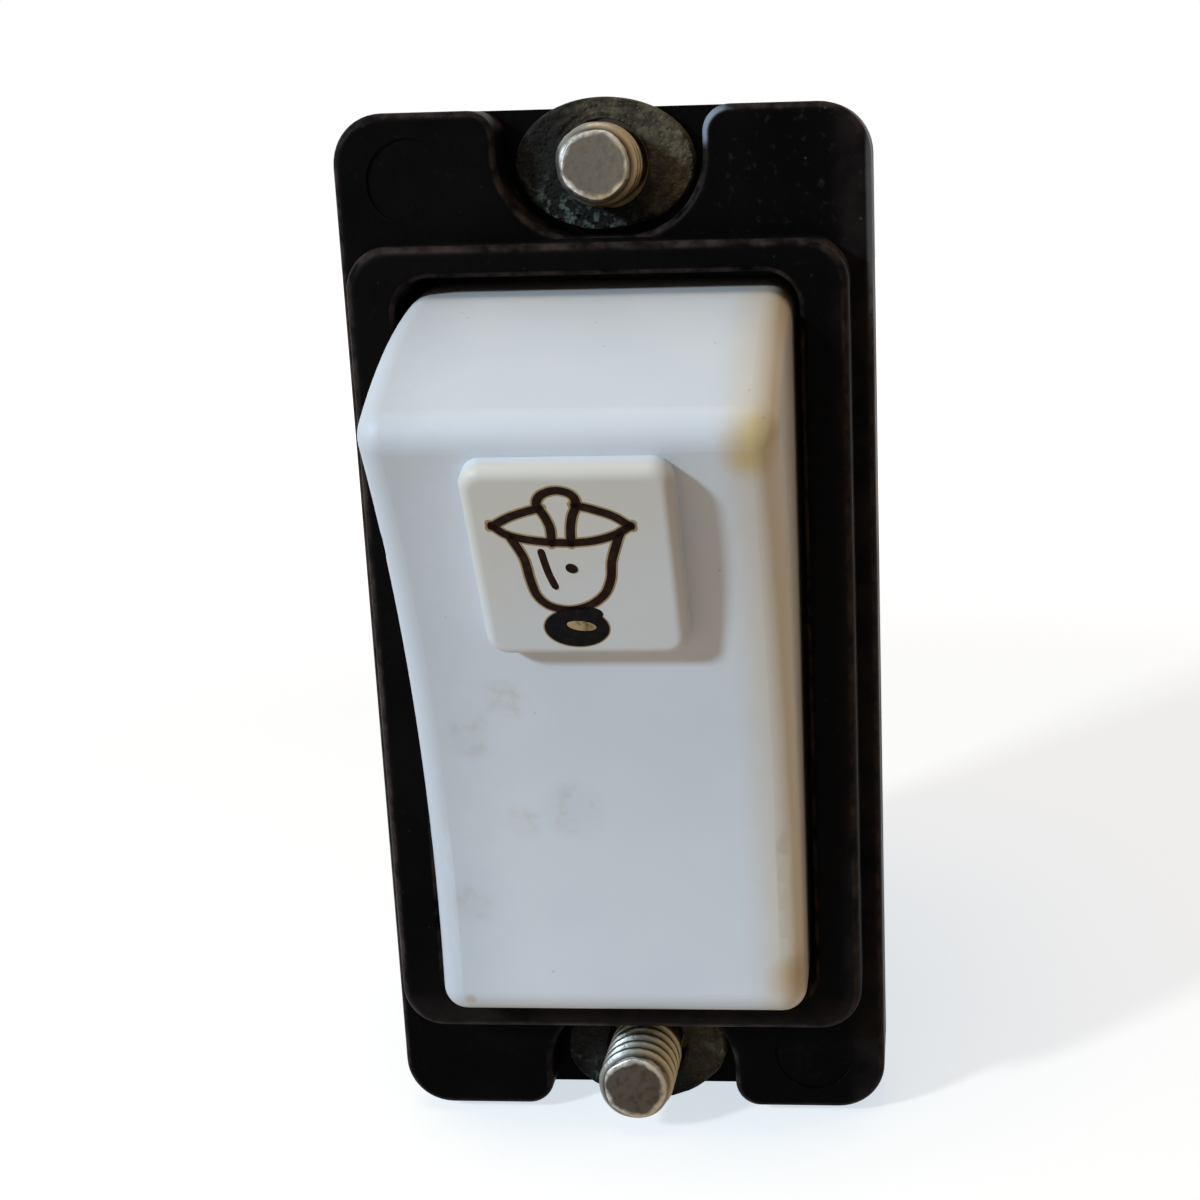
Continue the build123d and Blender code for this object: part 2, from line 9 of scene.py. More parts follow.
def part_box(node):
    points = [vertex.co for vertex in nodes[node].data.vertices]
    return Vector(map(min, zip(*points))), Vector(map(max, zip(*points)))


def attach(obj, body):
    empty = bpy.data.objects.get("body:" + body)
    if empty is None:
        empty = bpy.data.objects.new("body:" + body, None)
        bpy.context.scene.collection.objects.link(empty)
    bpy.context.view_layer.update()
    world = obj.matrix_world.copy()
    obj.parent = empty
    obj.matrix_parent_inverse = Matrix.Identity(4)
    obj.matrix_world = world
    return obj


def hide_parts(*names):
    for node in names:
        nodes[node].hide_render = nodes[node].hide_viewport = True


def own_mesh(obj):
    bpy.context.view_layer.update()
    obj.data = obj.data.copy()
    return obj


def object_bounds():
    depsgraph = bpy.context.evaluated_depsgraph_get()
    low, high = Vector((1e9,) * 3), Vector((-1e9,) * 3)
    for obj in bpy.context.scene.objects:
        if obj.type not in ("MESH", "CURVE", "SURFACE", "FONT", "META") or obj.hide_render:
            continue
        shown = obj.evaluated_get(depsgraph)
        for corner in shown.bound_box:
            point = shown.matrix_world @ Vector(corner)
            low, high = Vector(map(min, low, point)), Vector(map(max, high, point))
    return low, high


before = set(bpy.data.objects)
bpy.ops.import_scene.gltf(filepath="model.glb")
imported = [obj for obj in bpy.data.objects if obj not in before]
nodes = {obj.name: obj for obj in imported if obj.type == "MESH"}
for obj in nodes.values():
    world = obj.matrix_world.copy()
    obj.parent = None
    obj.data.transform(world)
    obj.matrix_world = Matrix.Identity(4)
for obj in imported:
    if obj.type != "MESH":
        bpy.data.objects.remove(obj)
cad_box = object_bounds()


# Front frame: one compression moulding in black phenolic, with the flange, the raised border round the key
# and the open pockets at both ends. Its rounded edges are rubbed dull brown, partly real wear and partly a
# painted highlight, and lint clings to the upper right ear. That ear's inner corner and the front of its
# outer side carry painted pale highlights, the right side is painted warm brown as reflected light, and the
# lower border is a lighter brown.

MM = 0.001

# Places are in millimetres. A pair is where a mark of wear, dust or painted light begins and where it is
# full.
FLAT_TO_ROUND = (0.995, 0.85)
DUSTY_EAR = (8.3, 0, 20.0)
EAR_REACH = (4.8, 2.5)
HIGHLIGHT_CORNER = (4.7, 0.2, 22.5)
CORNER_REACH = (1.25, 0.35)
HIGHLIGHT_SIDE_X = (11.2, 11.45)
HIGHLIGHT_SIDE_Y = (1.3, 0.4)
HIGHLIGHT_SIDE_Z = (12.5, 17.5)
REFLECTION_X = (9.6, 10.6)
LOW_BORDER_Y = (-0.6, -1.2)
LOW_BORDER_Z = (-15.8, -16.8)


class Flow:
    """One socket inside a material. Sums and products of such values add their Math nodes."""

    def __init__(self, tree, socket=None):
        self.tree = tree
        self.socket = socket

    def add(self, kind, settings=None, inputs=None, output=0):
        """Adds any node: its settings come first, then the values or links of its sockets."""
        node = self.tree.nodes.new(kind)
        for name, value in (settings or {}).items():
            setattr(node, name, value)
        for name, value in (inputs or {}).items():
            if isinstance(value, Flow):
                self.tree.links.new(value.socket, node.inputs[name])
            else:
                node.inputs[name].default_value = value
        return Flow(self.tree, node.outputs[output] if node.outputs else None)

    def maths(self, operation, first, second=0.0):
        return self.add("ShaderNodeMath", {"operation": operation}, {0: first, 1: second})

    def __add__(self, other):
        return self.maths("ADD", self, other)

    def __radd__(self, other):
        return self.maths("ADD", other, self)

    def __sub__(self, other):
        return self.maths("SUBTRACT", self, other)

    def __rsub__(self, other):
        return self.maths("SUBTRACT", other, self)

    def __mul__(self, other):
        return self.maths("MULTIPLY", self, other)

    def __rmul__(self, other):
        return self.maths("MULTIPLY", other, self)

    def __pow__(self, power):
        return self.maths("POWER", self, power)

    def __abs__(self):
        return self.maths("ABSOLUTE", self)

    def larger(self, other):
        return self.maths("MAXIMUM", self, other)

    def step(self, low, high):
        """Rises smoothly from 0 at low to 1 at high, or falls where low is the larger."""
        return self.add("ShaderNodeMapRange", {"interpolation_type": "SMOOTHSTEP"},
                        {"Value": self, "From Min": low, "From Max": high})

    def mix(self, low, high):
        """Goes from one colour to another as this value goes from 0 to 1."""
        factor, first_colour, second_colour, mixed_colour = 0, 6, 7, 2
        return self.add("ShaderNodeMix", {"data_type": "RGBA"},
                        {factor: self, first_colour: low, second_colour: high}, mixed_colour)

    def axis(self, name):
        return self.add("ShaderNodeSeparateXYZ", None, {0: self}, name)

    def noise(self, scale, detail=3.0):
        return self.add("ShaderNodeTexNoise", None, {"Vector": self, "Scale": scale, "Detail": detail})

    def cells(self, scale):
        """Distance from the nearest of many scattered points."""
        return self.add("ShaderNodeTexVoronoi", None, {"Vector": self, "Scale": scale}, "Distance")

    def away_from(self, x, y, z):
        """Distance of a place from a stated point."""
        return self.add("ShaderNodeVectorMath", {"operation": "DISTANCE"}, {0: self, 1: (x, y, z)}, "Value")

    def along(self, direction):
        """How far a place lies along a direction."""
        return self.add("ShaderNodeVectorMath", {"operation": "DOT_PRODUCT"},
                        {0: self, 1: direction}, "Value")

    def bump(self, depth):
        """Raises the surface by this value times a depth in millimetres."""
        return self.add("ShaderNodeBump", None, {"Height": self, "Distance": depth * MM})


def millimetres(finish):
    """A place on the piece, in millimetres, that moves with the piece."""
    place = Flow(finish.node_tree).add("ShaderNodeTexCoord", output="Object")
    return place.add("ShaderNodeVectorMath", {"operation": "SCALE"}, {0: place, "Scale": 1 / MM}, "Vector")


def rounding(finish):
    """1 on rounded edges, 0 on faces that look straight along an axis."""
    facing = Flow(finish.node_tree).add("ShaderNodeTexCoord", output="Normal")
    straight = abs(facing.axis("X")).larger(abs(facing.axis("Y"))).larger(abs(facing.axis("Z")))
    return straight.step(*FLAT_TO_ROUND)


def tone(red, green, blue):
    """A colour as it is seen, 0 to 255, made linear."""
    linear = [((part / 255 + 0.055) / 1.055) ** 2.4 if part > 10 else part / 255 / 12.92
              for part in (red, green, blue)]
    return (*linear, 1.0)


REFLECTION_AND_BORDER_BROWN = tone(32, 27, 26)
WORN_AND_HIGHLIGHT_BROWN = tone(58, 49, 46)
LINT_GREY = tone(84, 80, 78)
HIGHLIGHT_GREY = tone(138, 150, 164)


def new_finish(name):
    finish = bpy.data.materials.new(name)
    finish.use_nodes = True
    return finish


def lay_on(finish, sockets):
    """Feeds the finish's shader: links where a value changes over the surface, plain numbers elsewhere."""
    shader = finish.node_tree.nodes["Principled BSDF"]
    for name, value in sockets.items():
        if isinstance(value, Flow):
            finish.node_tree.links.new(value.socket, shader.inputs[name])
        else:
            shader.inputs[name].default_value = value


def dress(finish, *names):
    for name in names:
        nodes[name].material_slots[0].material = finish


def black_phenolic(name, dust_amount, dark, faded, shine):
    finish = new_finish(name)
    place = millimetres(finish)
    x, y, z = place.axis("X"), place.axis("Y"), place.axis("Z")
    ragged = place.noise(1.4, 5) - 0.5
    cloud = place.noise(0.22, 4).step(0.35, 0.68)
    # Rubbed brown on rounded edges: partly real wear, partly a painted highlight where the edges catch the
    # light.
    worn = rounding(finish) * place.noise(1.3, 4).step(0.3, 0.75)
    dusty_ear = place.away_from(*DUSTY_EAR).step(*EAR_REACH)
    lint = place.cells(1.1).step(0.09, 0.03) * place.noise(0.9, 2).step(0.42, 0.55)
    film = 0.3 * place.noise(2.6, 6).step(0.56, 0.8)
    dust = dust_amount * (0.2 + 0.8 * dusty_ear) * lint.larger(film)
    # Painted pale highlights on the ear's inner corner and along the front of its outer side.
    corner_highlight = (place.away_from(*HIGHLIGHT_CORNER) + 1.1 * ragged).step(*CORNER_REACH) * rounding(finish)
    side_highlight = x.step(*HIGHLIGHT_SIDE_X) * (z + 6 * ragged).step(*HIGHLIGHT_SIDE_Z)
    side_highlight = side_highlight * (y + 1.2 * ragged).step(*HIGHLIGHT_SIDE_Y)
    # Painted warm reflection on the right side, and a lighter brown along the lower border.
    low_border = z.step(*LOW_BORDER_Z) * y.step(*LOW_BORDER_Y)
    reflection_and_low_border = x.step(*REFLECTION_X).larger(low_border) * place.noise(0.6, 4).step(0.25, 0.7)
    colour = cloud.mix(dark, faded)
    colour = (0.8 * reflection_and_low_border).mix(colour, REFLECTION_AND_BORDER_BROWN)
    colour = (0.85 * worn).mix(colour, WORN_AND_HIGHLIGHT_BROWN)
    colour = dust.mix(colour, LINT_GREY)
    colour = (0.75 * corner_highlight.larger(side_highlight)).mix(colour, HIGHLIGHT_GREY)
    lay_on(finish, {
        "Base Color": colour,
        "Roughness": 0.36 + 0.14 * cloud + 0.3 * dust,
        "Specular IOR Level": shine,
        "Normal": (place.noise(9.0, 4) + 3 * place.noise(0.5, 2)).bump(0.006),
    })
    return finish


front_phenolic = black_phenolic("front_phenolic", dust_amount=0.55, dark=tone(4, 3, 3), faded=tone(8, 7, 7),
                                shine=0.02)
dress(front_phenolic, "front_frame")


# Rear case: the same phenolic in a second moulding, a box with the contact cavity in front and two wire
# chambers behind. Its lugs are drawn onto the flange by the two case screws.

case_phenolic = black_phenolic("case_phenolic", dust_amount=0.9, dark=tone(17, 15, 15),
                               faded=tone(27, 25, 24), shine=0.2)
dress(case_phenolic, "rear_case")


# Case screws and wire clamps: small slotted screws and stamped plates in zinc-plated steel, and the brass
# strips of the terminals with the contact posts. The plating has gone dull and the brass has browned.

def plated_metal(name, bright, tarnish, rough=0.32):
    finish = new_finish(name)
    place = millimetres(finish)
    patches = place.noise(0.9, 6).step(0.28, 0.82)
    scratches = place.noise(5.0, 6)
    lay_on(finish, {
        "Base Color": patches.mix(bright, tarnish),
        "Metallic": 1.0,
        "Roughness": rough + 0.25 * patches + 0.1 * scratches,
        "Normal": (scratches + patches).bump(0.01),
    })
    return finish


plated_steel = plated_metal("plated_steel", bright=tone(176, 174, 166), tarnish=tone(136, 129, 118))
dress(plated_steel, "case_screws", "left_terminal_screw", "right_terminal_screw",
      "left_clamp_plate", "right_clamp_plate")
brass = plated_metal("terminal_brass", bright=tone(192, 156, 90), tarnish=tone(150, 115, 64))
dress(brass, "left_terminal", "right_terminal", "contact_bridge")


# Pivot pin, springs and contacts: an oiled, blackened steel pin across the frame, two coiled springs and
# four silver buttons, all inside the case and cleaner than what shows. The return spring stands on the
# case under the key's raised end.

blackened_steel = plated_metal("blackened_steel", bright=tone(34, 32, 30), tarnish=tone(22, 20, 18),
                               rough=0.5)
dress(blackened_steel, "pivot_pin")
spring_steel = plated_metal("spring_steel", bright=tone(168, 170, 172), tarnish=tone(122, 118, 112),
                            rough=0.25)
dress(spring_steel, "contact_spring", "bridge_pin")
silver = plated_metal("contact_silver", bright=tone(214, 212, 206), tarnish=tone(140, 132, 120),
                      rough=0.3)
dress(silver, "left_moving_contact", "right_moving_contact", "left_fixed_contact", "right_fixed_contact")


def new_piece(name, mesh, finish, body, slot, *replaced):
    """Makes a piece of a finished mesh, ties it to its body, and hides the parts it replaces."""
    bmesh.ops.recalc_face_normals(mesh, faces=mesh.faces)
    data = bpy.data.meshes.new(name)
    mesh.to_mesh(data)
    mesh.free()
    data.materials.clear()
    data.materials.append(finish)
    piece = bpy.data.objects.new(name, data)
    bpy.context.scene.collection.objects.link(piece)
    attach(piece, body)
    if replaced:
        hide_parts(*replaced)
    return piece


coil = bmesh.new()
coil.from_mesh(nodes["return_spring"].data)
return_coil = new_piece("return_coil", coil, spring_steel, "base", "spring_steel", "return_spring")
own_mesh(return_coil)


# Rocker key: moulded in white urea with the square pad in one piece. The pad has greyed with handling, and
# the left side is greyed as painted shade. The right edge has yellowed, its yellow-brown partly real and
# partly painted warm shade, and where it turns it is painted pale as warm light falling on it. A brown
# stain sits at that end of the ridge, faint marks lie on the front, and the key is browner towards its foot
# in the frame opening.

PAD_MIDDLE_Z = 5.7
PAD_FACE_DEPTH = (-1.0, -0.1)
PAD_SIDE_X = (4.5, 4.1)
PAD_FOOT_Z = (0.9, 1.7)
HANDLED_Z = (3.0, 8.5)
PAINTED_SHADE_X = (-3.5, -8.0)
YELLOWED_AND_SHADED_X = (5.3, 7.8)
PAINTED_LIGHT_X = (7.2, 8.0)
RIGHT_SIDE_X = (8.2, 8.05)
KEY_FOOT_Y = (-3.4, -1.6)
LOW_RIGHT_CORNER = (7.8, -4.7, -14.2)
LOW_CORNER_REACH = (1.6, 0.2)
LOW_LEFT_SPOT = (-6.8, -4.7, -15.3)
LOW_SPOT_REACH = (0.35, 0.12)

# A spot is its X, Y and Z and its reach.
STAINED_SPOTS = ((7.4, -11.3, 11.3, 1.5), (7.2, -11.1, 10.7, 1.7), (7.0, -10.7, 10.1, 1.5))
MARKED_SPOTS = ((-5.7, -5.9, -2.5, 1.5), (-4.0, -6.3, -0.8, 1.4), (-1.6, -5.2, -6.1, 1.7),
                (-3.8, -5.1, -6.7, 1.1), (-6.5, -4.8, -10.7, 1.2))

CLEAN_WHITE = tone(205, 212, 217)
CLOUDED_WHITE = tone(210, 215, 219)
PAINTED_SHADE_WHITE = tone(174, 182, 189)
HANDLED_WHITE = tone(202, 198, 186)
YELLOWED_AND_SHADED_WHITE = tone(190, 166, 120)
PAINTED_LIGHT_WHITE = tone(236, 222, 196)
BROWNED_WHITE = tone(178, 152, 110)
STAIN_BROWN = tone(190, 166, 104)
MARK_BROWN = tone(146, 128, 82)
SPECK_BROWN = tone(104, 94, 84)

key_skin = BVHTree.FromObject(nodes["rocker_key"], bpy.context.evaluated_depsgraph_get())
pad_middle, pad_facing, _, _ = key_skin.ray_cast(Vector((0, cad_box[0].y - 1, PAD_MIDDLE_Z * MM)),
                                                 Vector((0, 1, 0)))


def white_urea():
    finish = new_finish("white_urea")
    place = millimetres(finish)
    x, y, z = place.axis("X"), place.axis("Y"), place.axis("Z")
    ragged = place.noise(1.1, 5) - 0.5
    cloud = place.noise(0.18, 2).step(0.3, 0.7)
    on_pad = (place.along(pad_facing) - pad_middle.dot(pad_facing) / MM).step(*PAD_FACE_DEPTH)
    on_pad = on_pad * abs(x).step(*PAD_SIDE_X) * z.step(*PAD_FOOT_Z)
    handled = on_pad * (0.35 + 0.5 * (z + 2.0 * ragged - 0.3 * x).step(*HANDLED_Z))
    # Painted shade: the left side is greyed.
    painted_shade_left = (x + 1.5 * ragged).step(*PAINTED_SHADE_X)
    # The right edge turns yellow-brown, partly real yellowing and partly painted warm shade.
    right_edge = (x + 0.4 * ragged).step(*YELLOWED_AND_SHADED_X)
    # Painted warm light: the right edge's rounding, which faces away from the lamps, is painted pale.
    painted_light_edge = x.step(*PAINTED_LIGHT_X) * x.step(*RIGHT_SIDE_X)
    low_corner = (place.away_from(*LOW_RIGHT_CORNER) + 0.8 * ragged).step(*LOW_CORNER_REACH)
    low_spot = place.away_from(*LOW_LEFT_SPOT).step(*LOW_SPOT_REACH)
    # Browner towards the key's foot, where it goes into the frame opening.
    foot = (y + 1.2 * ragged).step(*KEY_FOOT_Y)
    soiled_and_browner_foot = (0.8 * low_corner).larger(0.5 * low_spot).larger(0.3 * foot)
    ridge_stain = 0.0
    for spot_x, spot_y, spot_z, reach in STAINED_SPOTS:
        spread = place.away_from(spot_x, spot_y, spot_z) + 0.3 * ragged
        ridge_stain = spread.step(reach, 0.0).larger(ridge_stain)
    marks = 0.0
    for spot_x, spot_y, spot_z, reach in MARKED_SPOTS:
        marks = place.away_from(spot_x, spot_y, spot_z).step(reach, 0.3 * reach).larger(marks)
    marks = marks * (0.25 + 0.75 * place.noise(1.3, 4).step(0.44, 0.72))
    speck = place.cells(0.8).step(0.07, 0.03) * place.noise(0.5, 1).step(0.55, 0.62)
    colour = cloud.mix(CLEAN_WHITE, CLOUDED_WHITE)
    colour = (0.5 * painted_shade_left).mix(colour, PAINTED_SHADE_WHITE)
    colour = handled.mix(colour, HANDLED_WHITE)
    colour = (0.55 * right_edge).mix(colour, YELLOWED_AND_SHADED_WHITE)
    colour = (0.6 * painted_light_edge).mix(colour, PAINTED_LIGHT_WHITE)
    colour = soiled_and_browner_foot.mix(colour, BROWNED_WHITE)
    colour = (0.85 * ridge_stain).mix(colour, STAIN_BROWN)
    colour = (0.27 * marks).mix(colour, MARK_BROWN)
    colour = (0.25 * speck).mix(colour, SPECK_BROWN)
    lay_on(finish, {
        "Base Color": colour,
        "Roughness": 0.42 + 0.08 * cloud + 0.2 * marks,
        "Specular IOR Level": 0.35,
        "Normal": (place.noise(0.5, 3) + 0.12 * place.noise(12.0, 3)).bump(0.012),
    })
    return finish


dress(white_urea(), "rocker_key")


# Bell mark: a bell pictogram printed on the pad in dark brown ink, mouth up, with its knob filled in.
# The ink stands a few hundredths of a millimetre on the pad, and has bled yellow into the urea beside it.

INK_WIDTH = 0.46
INK_HEIGHT = 0.025
INK_SUNK = 0.02
INK_BACK_SHARE = 0.6
HIGHLIGHT_WIDTH = 0.38
BLEED_WIDTH = 0.72
BLEED_HEIGHT = 0.006
KNOB_HEIGHT = 1.1 * INK_HEIGHT
ROUND_END = (0.45, 0.8, 0.97)
CURVE_STEPS = 8
OVAL_STEPS = 40
OVAL_BEVEL = 0.96
OVAL_INNER = 0.5

# Strokes are points across and up the pad. An oval is its middle and its half width and half height.
BELL_STROKES = (
    ((-2.98, 2.01), (-2.32, 2.40), (-1.62, 2.66), (-1.12, 2.80)),
    ((0.37, 2.92), (0.98, 2.73), (1.75, 2.40), (2.32, 1.94)),
    ((-2.98, 2.01), (-2.51, 1.59), (-1.65, 1.32), (-0.47, 1.18), (0.73, 1.23), (1.73, 1.53), (2.32, 1.94)),
    ((-2.36, 1.42), (-1.98, 0.44), (-1.87, -0.59), (-1.69, -1.41), (-1.25, -1.92), (-0.51, -2.12),
     (0.28, -1.93), (0.96, -1.40), (1.32, -0.63), (1.46, 0.25), (1.69, 0.98), (1.90, 1.55)),
    ((-0.80, 1.22), (-0.76, 1.86), (-0.91, 2.43), (-1.15, 3.01), (-0.89, 3.45), (-0.31, 3.62), (0.23, 3.43),
     (0.38, 2.99), (0.16, 2.42), (0.03, 1.84), (-0.03, 1.21)))
HIGHLIGHT_STROKE = ((-1.26, 0.71), (-1.19, 0.21), (-1.09, -0.36), (-0.93, -0.92))
HIGHLIGHT_DOT = (-0.16, -0.07, 0.26, 0.22)
KNOB_NECK = (-0.13, -2.34, 0.98, 0.42)
KNOB = (-0.31, -3.04, 1.34, 0.98)
KNOB_BLEED = (-0.31, -3.04, 1.41, 1.05)
KNOB_GLINT = (-0.10, -2.92, 0.60, 0.24)

pad_across = Vector((1, 0, 0))
pad_up = pad_facing.cross(pad_across)
if pad_up.z < 0:
    pad_up.negate()


def on_mark(across, up, proud):
    """A point of the mark, measured in millimetres from the middle of the pad's face."""
    return pad_middle + MM * (across * pad_across + up * pad_up + proud * pad_facing)


def smooth_line(points):
    """A flowing line through a few points."""
    line = []
    for span in range(len(points) - 1):
        p = [Vector(points[min(max(span + step, 0), len(points) - 1)]) for step in (-1, 0, 1, 2)]
        for number in range(CURVE_STEPS):
            t = number / CURVE_STEPS
            slope = t * (p[2] - p[0])
            bend = t * t * (2 * p[0] - 5 * p[1] + 4 * p[2] - p[3])
            twist = t ** 3 * (3 * p[1] - p[0] - 3 * p[2] + p[3])
            line.append(0.5 * (2 * p[1] + slope + bend + twist))
    line.append(Vector(points[-1]))
    return line


def ink_stroke(mesh, points, width=INK_WIDTH, height=INK_HEIGHT):
    """A printed line of even width with round ends and a low rounded back."""
    line = smooth_line(points)
    runs = [(line[min(i + 1, len(line) - 1)] - line[max(i - 1, 0)]).normalized() for i in range(len(line))]
    stations = [(line[0] - runs[0] * width / 2 * back, runs[0], (1 - back * back) ** 0.5)
                for back in reversed(ROUND_END)]
    stations += [(point, run, 1.0) for point, run in zip(line, runs)]
    stations += [(line[-1] + runs[-1] * width / 2 * ahead, runs[-1], (1 - ahead * ahead) ** 0.5)
                 for ahead in ROUND_END]
    section = [(1, -INK_SUNK), (INK_BACK_SHARE, height), (-INK_BACK_SHARE, height), (-1, -INK_SUNK)]
    rows = []
    for point, run, share in stations:
        side = Vector((-run.y, run.x)) * width / 2 * share
        rows.append([mesh.verts.new(on_mark(*(point + reach * side), proud)) for reach, proud in section])
    for row, following in zip(rows, rows[1:]):
        for corner in range(len(row)):
            after = (corner + 1) % len(row)
            mesh.faces.new((row[corner], row[after], following[after], following[corner]))
    mesh.faces.new(rows[0][::-1])
    mesh.faces.new(rows[-1])


def ink_oval(mesh, across, up, half_width, half_height, top, foot, turned=0.0):
    """A filled oval field with a bevelled rim."""
    rings = []
    for share, proud in ((1.0, foot), (OVAL_BEVEL, top), (OVAL_INNER, top)):
        ring = []
        for number in range(OVAL_STEPS):
            angle = tau * number / OVAL_STEPS
            reach = Vector((half_width * cos(angle), half_height * sin(angle)))
            reach.rotate(Matrix.Rotation(radians(turned), 2))
            ring.append(mesh.verts.new(on_mark(across + share * reach.x, up + share * reach.y, proud)))
        rings.append(ring)
    for outer, inner in zip(rings, rings[1:]):
        for number in range(OVAL_STEPS):
            after = (number + 1) % OVAL_STEPS
            mesh.faces.new((outer[number], outer[after], inner[after], inner[number]))
    mesh.faces.new(rings[-1])
    mesh.faces.new(rings[0][::-1])


def printing_ink(name, dark, pale):
    finish = new_finish(name)
    place = millimetres(finish)
    worn = place.noise(3.0, 4).step(0.45, 0.8)
    lay_on(finish, {
        "Base Color": worn.mix(dark, pale),
        "Roughness": 0.45 + 0.2 * worn,
        "Specular IOR Level": 0.04,
        "Normal": place.noise(9.0, 3).bump(0.004),
    })
    return finish


bell_bleed = bmesh.new()
bell_lines = bmesh.new()
for stroke in BELL_STROKES:
    ink_stroke(bell_bleed, stroke, BLEED_WIDTH, BLEED_HEIGHT)
    ink_stroke(bell_lines, stroke)
ink_oval(bell_bleed, *KNOB_BLEED, BLEED_HEIGHT, -INK_SUNK)
bleed_ink = printing_ink("ink_bleed", dark=tone(156, 136, 100), pale=tone(172, 154, 120))
new_piece("bell_mark_bleed", bell_bleed, bleed_ink, "key", "white_urea")

ink_stroke(bell_lines, HIGHLIGHT_STROKE, width=HIGHLIGHT_WIDTH)
ink_oval(bell_lines, *HIGHLIGHT_DOT, INK_HEIGHT, -INK_SUNK, turned=-35)
line_ink = printing_ink("bell_ink", dark=tone(30, 17, 12), pale=tone(52, 36, 26))
new_piece("bell_mark_lines", bell_lines, line_ink, "key", "white_urea")

bell_knob = bmesh.new()
ink_oval(bell_knob, *KNOB_NECK, INK_HEIGHT, -INK_SUNK)
ink_oval(bell_knob, *KNOB, KNOB_HEIGHT, -INK_SUNK)
knob_ink = printing_ink("knob_ink", dark=tone(12, 11, 11), pale=tone(30, 26, 24))
new_piece("bell_mark_knob", bell_knob, knob_ink, "key", "white_urea")

bell_glint = bmesh.new()
ink_oval(bell_glint, *KNOB_GLINT, 2 * INK_HEIGHT, INK_HEIGHT / 2, turned=-8)
glint_ink = printing_ink("glint_ink", dark=tone(176, 152, 112), pale=tone(92, 76, 58))
new_piece("bell_mark_glint", bell_glint, glint_ink, "key", "white_urea")


# Washers: oval stamped steel rings in the pockets, once plated. Damp has eaten them, so their faces are
# crusted and pitted, their rims ragged, and pale green salts have grown low down.

WASHER_HOLE = 1.9
WASHER_TURNS = 180
WASHER_SHARP = 50
FACE_ROWS = 14
FACE_START = 0.04
HOLE_ROUND = 0.1
RIM_ROUND = 0.14
BACK_GAP = 0.05
CRUST = 0.09
CRUST_GRAIN = 1.7
RIM_LOSS = 0.16
LOSS_GRAIN = 0.55
MERGE_REACH = 0.001

LOWER_LEFT_BLACK = tone(11, 10, 8)
UPPER_RIGHT_BROWN = tone(90, 82, 63)
CRUST_GREY = tone(98, 92, 76)
PIT_BLACK = tone(18, 15, 12)
SALT_GREEN = tone(94, 108, 100)


def turned_surface(mesh, rows, turns, middle_z, place_at):
    """A skin of rings about a fixing screw's axis. place_at gives a point's reach in X and Z, and depth."""
    rings = []
    for row in rows:
        ring = []
        for number in range(turns):
            angle = tau * number / turns
            reach_x, reach_z, depth = place_at(row, angle)
            point = Vector((reach_x * cos(angle), depth, middle_z + reach_z * sin(angle)))
            ring.append(mesh.verts.new(MM * point))
        rings.append(ring)
    for ring, following in zip(rings, rings[1:]):
        for number in range(turns):
            after = (number + 1) % turns
            mesh.faces.new((ring[number], ring[after], following[after], following[number]))
    return rings


def smooth_sides(piece, sharp_from):
    """Shades the sides round, and keeps corners sharper than an angle in degrees."""
    for face in piece.data.polygons:
        face.use_smooth = True
    piece.data.set_sharp_from_angle(angle=radians(sharp_from))


def corroded_steel(name, middle_z):
    finish = new_finish(name)
    place = millimetres(finish)
    x, z = place.axis("X"), place.axis("Z") - middle_z
    crust = place.noise(2.6, 8)
    pits = place.cells(5.0).step(0.1, 0.5)
    patches = place.noise(0.8, 5) - 0.5
    # Darker towards the lower left of each washer, browner towards the upper right, where the crust shows
    # more.
    upper_right_side = (0.6 * x + 0.5 * z + 4.0 * patches).step(-0.6, 2.6)
    salts = (z + 0.4 * x + 3.0 * patches).step(-1.2, -3.0) * crust.step(0.5, 0.62)
    colour = upper_right_side.mix(LOWER_LEFT_BLACK, UPPER_RIGHT_BROWN)
    crusted = (0.2 + 0.4 * upper_right_side) * crust.step(0.5, 0.72)
    colour = crusted.mix(colour, CRUST_GREY)
    colour = (0.55 * pits * crust.step(0.62, 0.4)).mix(colour, PIT_BLACK)
    colour = (0.65 * salts).mix(colour, SALT_GREEN)
    lay_on(finish, {
        "Base Color": colour,
        "Metallic": 0.25,
        "Roughness": 0.65 + 0.25 * crust,
        "Specular IOR Level": 0.2,
        "Normal": (crust + 0.4 * pits).bump(0.08),
    })
    return finish


